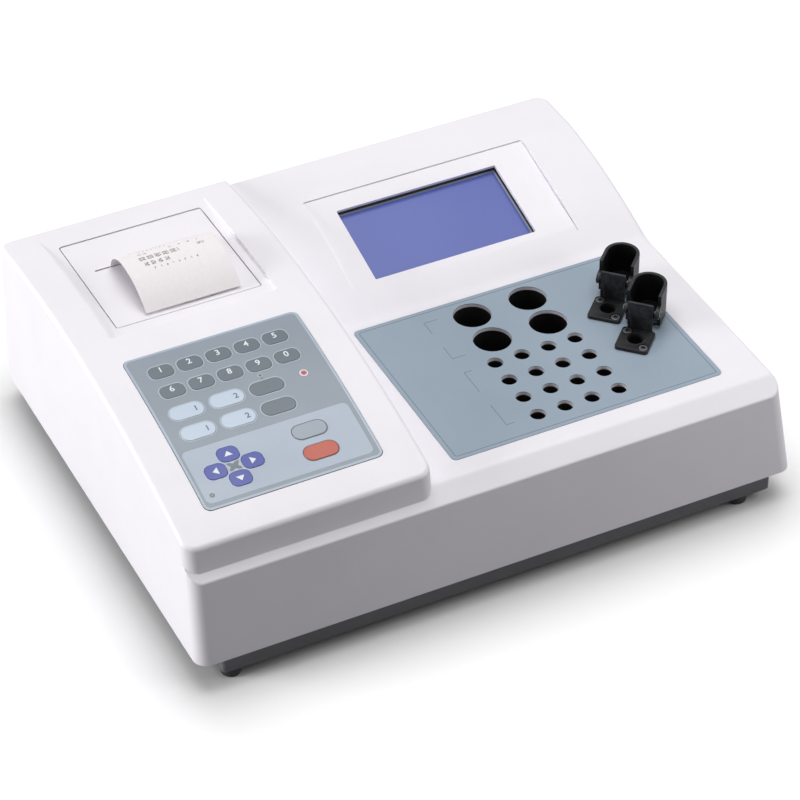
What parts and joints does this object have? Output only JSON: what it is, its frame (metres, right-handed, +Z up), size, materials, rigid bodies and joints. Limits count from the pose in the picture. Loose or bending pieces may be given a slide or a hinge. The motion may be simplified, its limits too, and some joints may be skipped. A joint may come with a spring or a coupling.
{
  "type": "coagulation analyzer",
  "caption": "Bench coagulation analyzer: sloped case with raised keypad and printer console, display, heated well area and flip-over measuring channel hoods.",
  "frame": {"origin": "middle of the footprint at the underside of the feet", "axes": "+Z up, the operator sits on the -Y side, +X to the operator's right"},
  "size_m": [0.355, 0.2784, 0.1247],
  "materials": {
    "housing_plastic": "fine satin moulded plastic",
    "tray_paint": "dark grey powder coat",
    "foot_rubber": "black rubber",
    "work_foil": "satin printed foil",
    "block_metal": "black anodised",
    "heater_foil": "polyimide heater",
    "fixture_plastic": "black satin moulding",
    "dark_steel": "blackened steel",
    "display_pane": "clear pane over a blue display",
    "display_module": "black bezel",
    "keypad_foil": "satin printed foil",
    "circuit_board": "solder mask",
    "number_key": "embossed satin",
    "pale_key": "embossed satin",
    "arrow_key": "embossed satin",
    "menu_key": "embossed satin",
    "enter_key": "embossed satin",
    "printer_plastic": "moulded",
    "paper": "thermal paper",
    "platen_rubber": "ground rubber",
    "sheet_metal": "zinc plated sheet",
    "fitting_plastic": "black moulding"
  },
  "bodies": {
    "case": {"top_housing": "housing_plastic", "base_tray": "tray_paint", "work_overlay": "work_foil", "incubation_block": "block_metal", "heater_plate": "heater_foil", "channel_block": "block_metal", "display_window": "display_pane", "display_gasket": "display_module", "display_module": "display_module", "keypad_overlay": "keypad_foil", "keypad_board": "circuit_board", "printer_bucket": "printer_plastic", "lid_hinge_pin": "dark_steel", "print_head": "sheet_metal", "main_board": "circuit_board", "power_supply": "sheet_metal", "power_inlet": "fitting_plastic", "switch_frame": "fitting_plastic", "serial_port": "sheet_metal", "rubber_foot_front_left": "foot_rubber", "rubber_foot_rear_left": "foot_rubber", "rubber_foot_front_right": "foot_rubber", "rubber_foot_rear_right": "foot_rubber", "channel_1_bracket": "fixture_plastic", "channel_1_pivot_pin": "dark_steel", "channel_1_front_screw": "dark_steel", "channel_1_rear_screw": "dark_steel", "channel_2_bracket": "fixture_plastic", "channel_2_pivot_pin": "dark_steel", "channel_2_front_screw": "dark_steel", "channel_2_rear_screw": "dark_steel"},
    "hood_1": {"channel_1_hood": "fixture_plastic"},
    "hood_2": {"channel_2_hood": "fixture_plastic"},
    "lid": {"printer_lid": "housing_plastic", "paper_strip": "paper"},
    "platen": {"platen_roller": "platen_rubber"},
    "roll": {"paper_roll": "paper"},
    "rocker": {"power_switch_rocker": "fitting_plastic"},
    "key_1_cap": {"key_1": "number_key"},
    "key_6_cap": {"key_6": "number_key"},
    "key_2_cap": {"key_2": "number_key"},
    "key_7_cap": {"key_7": "number_key"},
    "key_3_cap": {"key_3": "number_key"},
    "key_8_cap": {"key_8": "number_key"},
    "key_4_cap": {"key_4": "number_key"},
    "key_9_cap": {"key_9": "number_key"},
    "key_5_cap": {"key_5": "number_key"},
    "key_0_cap": {"key_0": "number_key"},
    "timer_1_key_cap": {"timer_1_key": "pale_key"},
    "channel_1_key_cap": {"channel_1_key": "pale_key"},
    "timer_2_key_cap": {"timer_2_key": "pale_key"},
    "channel_2_key_cap": {"channel_2_key": "pale_key"},
    "online_key_cap": {"online_key": "number_key"},
    "paper_feed_key_cap": {"paper_feed_key": "number_key"},
    "menu_key_cap": {"menu_key": "menu_key"},
    "enter_key_cap": {"enter_key": "enter_key"},
    "arrow_up_key_cap": {"arrow_up_key": "arrow_key"},
    "arrow_right_key_cap": {"arrow_right_key": "arrow_key"},
    "arrow_down_key_cap": {"arrow_down_key": "arrow_key"},
    "arrow_left_key_cap": {"arrow_left_key": "arrow_key"}
  },
  "joints": [
    {"name": "hood_1_flip", "type": "hinge", "parent": "case", "child": "hood_1", "pos_m": [0.12581, -0.05709, 0.0896], "axis": [0.7071, -0.7071, 0], "range_deg": [0, 180]},
    {"name": "hood_2_flip", "type": "hinge", "parent": "case", "child": "hood_2", "pos_m": [0.12581, -0.02639, 0.0896], "axis": [0.7071, -0.7071, 0], "range_deg": [0, 180]},
    {"name": "lid_hinge", "type": "hinge", "parent": "case", "child": "lid", "pos_m": [-0.1046, 0.10772, 0.10662], "axis": [-1, 0, 0], "range_deg": [0, 95]},
    {"name": "paper_roll_spin", "type": "hinge", "parent": "case", "child": "roll", "pos_m": [-0.1046, 0.05605, 0.08351], "axis": [1, 0, 0], "continuous": true},
    {"name": "platen_spin", "type": "hinge", "parent": "case", "child": "platen", "pos_m": [-0.1046, 0.07914, 0.10062], "axis": [1, 0, 0], "continuous": true},
    {"name": "rocker_tilt", "type": "hinge", "parent": "case", "child": "rocker", "pos_m": [-0.1335, 0.1358, 0.045], "axis": [1, 0, 0], "range_deg": [-16, 0]},
    {"name": "key_1_press", "type": "slide", "parent": "case", "child": "key_1_cap", "axis": [0, -0.1034, 0.9946], "range_m": [-0.0003, 0], "stiffness_N_per_m": 1500},
    {"name": "key_6_press", "type": "slide", "parent": "case", "child": "key_6_cap", "axis": [0, -0.1284, 0.9917], "range_m": [-0.0003, 0], "stiffness_N_per_m": 1500},
    {"name": "key_2_press", "type": "slide", "parent": "case", "child": "key_2_cap", "axis": [0, -0.1034, 0.9946], "range_m": [-0.0003, 0], "stiffness_N_per_m": 1500},
    {"name": "key_7_press", "type": "slide", "parent": "case", "child": "key_7_cap", "axis": [0, -0.1284, 0.9917], "range_m": [-0.0003, 0], "stiffness_N_per_m": 1500},
    {"name": "key_3_press", "type": "slide", "parent": "case", "child": "key_3_cap", "axis": [0, -0.1034, 0.9946], "range_m": [-0.0003, 0], "stiffness_N_per_m": 1500},
    {"name": "key_8_press", "type": "slide", "parent": "case", "child": "key_8_cap", "axis": [0, -0.1284, 0.9917], "range_m": [-0.0003, 0], "stiffness_N_per_m": 1500},
    {"name": "key_4_press", "type": "slide", "parent": "case", "child": "key_4_cap", "axis": [0, -0.1034, 0.9946], "range_m": [-0.0003, 0], "stiffness_N_per_m": 1500},
    {"name": "key_9_press", "type": "slide", "parent": "case", "child": "key_9_cap", "axis": [0, -0.1284, 0.9917], "range_m": [-0.0003, 0], "stiffness_N_per_m": 1500},
    {"name": "key_5_press", "type": "slide", "parent": "case", "child": "key_5_cap", "axis": [0, -0.1034, 0.9946], "range_m": [-0.0003, 0], "stiffness_N_per_m": 1500},
    {"name": "key_0_press", "type": "slide", "parent": "case", "child": "key_0_cap", "axis": [0, -0.1284, 0.9917], "range_m": [-0.0003, 0], "stiffness_N_per_m": 1500},
    {"name": "timer_1_key_press", "type": "slide", "parent": "case", "child": "timer_1_key_cap", "axis": [0, -0.1545, 0.988], "range_m": [-0.0003, 0], "stiffness_N_per_m": 1500},
    {"name": "channel_1_key_press", "type": "slide", "parent": "case", "child": "channel_1_key_cap", "axis": [0, -0.1779, 0.984], "range_m": [-0.0003, 0], "stiffness_N_per_m": 1500},
    {"name": "timer_2_key_press", "type": "slide", "parent": "case", "child": "timer_2_key_cap", "axis": [0, -0.1545, 0.988], "range_m": [-0.0003, 0], "stiffness_N_per_m": 1500},
    {"name": "channel_2_key_press", "type": "slide", "parent": "case", "child": "channel_2_key_cap", "axis": [0, -0.1779, 0.984], "range_m": [-0.0003, 0], "stiffness_N_per_m": 1500},
    {"name": "online_key_press", "type": "slide", "parent": "case", "child": "online_key_cap", "axis": [0, -0.1545, 0.988], "range_m": [-0.0003, 0], "stiffness_N_per_m": 1500},
    {"name": "paper_feed_key_press", "type": "slide", "parent": "case", "child": "paper_feed_key_cap", "axis": [0, -0.1779, 0.984], "range_m": [-0.0003, 0], "stiffness_N_per_m": 1500},
    {"name": "menu_key_press", "type": "slide", "parent": "case", "child": "menu_key_cap", "axis": [0, -0.2097, 0.9778], "range_m": [-0.0003, 0], "stiffness_N_per_m": 1500},
    {"name": "enter_key_press", "type": "slide", "parent": "case", "child": "enter_key_cap", "axis": [0, -0.2318, 0.9728], "range_m": [-0.0003, 0], "stiffness_N_per_m": 1500},
    {"name": "arrow_up_key_press", "type": "slide", "parent": "case", "child": "arrow_up_key_cap", "axis": [0, -0.2085, 0.978], "range_m": [-0.0003, 0], "stiffness_N_per_m": 1500},
    {"name": "arrow_right_key_press", "type": "slide", "parent": "case", "child": "arrow_right_key_cap", "axis": [0, -0.2211, 0.9753], "range_m": [-0.0003, 0], "stiffness_N_per_m": 1500},
    {"name": "arrow_down_key_press", "type": "slide", "parent": "case", "child": "arrow_down_key_cap", "axis": [0, -0.2335, 0.9724], "range_m": [-0.0003, 0], "stiffness_N_per_m": 1500},
    {"name": "arrow_left_key_press", "type": "slide", "parent": "case", "child": "arrow_left_key_cap", "axis": [0, -0.2211, 0.9753], "range_m": [-0.0003, 0], "stiffness_N_per_m": 1500}
  ],
  "couplings": [
    {"joint": "platen_spin", "follows": "paper_roll_spin", "ratio": 4}
  ]
}
